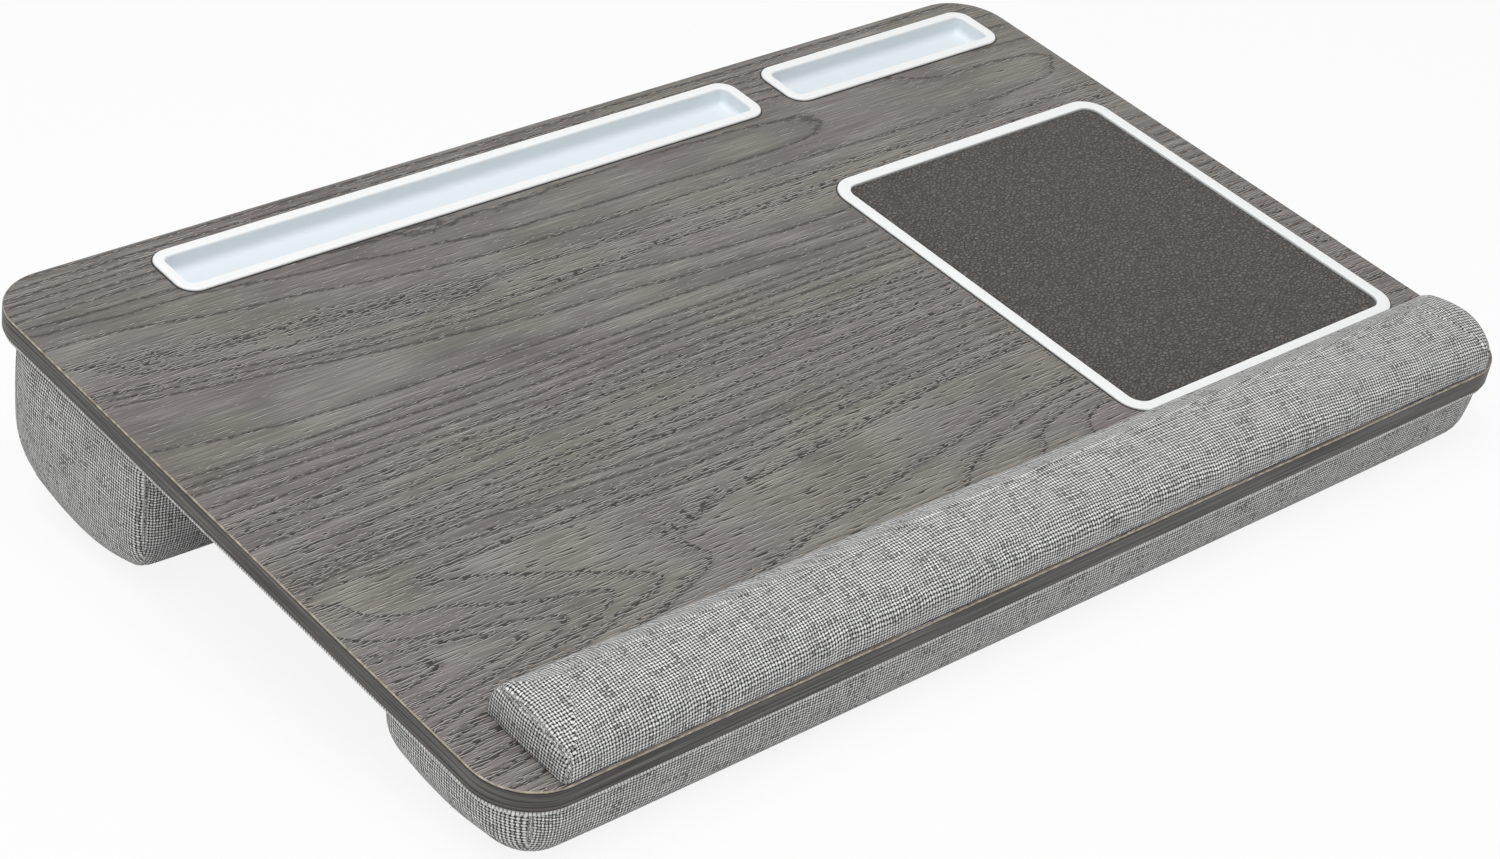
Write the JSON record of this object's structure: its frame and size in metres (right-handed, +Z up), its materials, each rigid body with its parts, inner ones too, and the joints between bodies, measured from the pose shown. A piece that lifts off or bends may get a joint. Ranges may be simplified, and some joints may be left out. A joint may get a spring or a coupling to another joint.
{
  "type": "lap desk",
  "caption": "Sloping wood-grain lap desk on soft fabric bolsters, with tray slots for a phone and pens, an inset leather mouse pad and a padded wrist rest.",
  "frame": {"origin": "middle of the footprint, on the surface that the desk stands on", "axes": "+X to the right of someone using the desk, +Y from the user to the rear edge, +Z up; the board slopes up to the rear"},
  "size_m": [0.6, 0.381, 0.103],
  "materials": {
    "fibreboard": "raw fibreboard, routed",
    "laminate": "grey oak decor laminate, matt, with a pale bevelled edge",
    "backing": "plain balancing laminate",
    "edge_band": "grey wood-grain edge band",
    "white_abs": "white moulded plastic, satin",
    "leather": "dark grey pebbled artificial leather",
    "pad_foam": "black sponge sheet",
    "fabric": "heather grey linen-look polyester",
    "cushion_foam": "cream polyurethane foam",
    "stiff_strip": "stiff black plastic strip"
  },
  "bodies": {
    "root": {"board_core": "fibreboard", "top_laminate": "laminate", "backing_sheet": "backing", "edge_band": "edge_band", "long_tray": "white_abs", "short_tray": "white_abs", "mouse_pad_frame": "white_abs", "mouse_pad_leather": "leather", "mouse_pad_foam": "pad_foam", "wrist_rest_wrap": "fabric", "wrist_rest_left_end": "fabric", "wrist_rest_right_end": "fabric", "wrist_rest_foam": "cushion_foam", "wrist_rest_strip": "stiff_strip", "underside_panel": "fabric", "underside_hem": "fabric", "rear_bolster_wrap": "fabric", "rear_bolster_left_end": "fabric", "rear_bolster_right_end": "fabric", "rear_bolster_foam": "cushion_foam", "front_bolster_wrap": "fabric", "front_bolster_left_end": "fabric", "front_bolster_right_end": "fabric", "front_bolster_foam": "cushion_foam"}
  },
  "joints": []
}
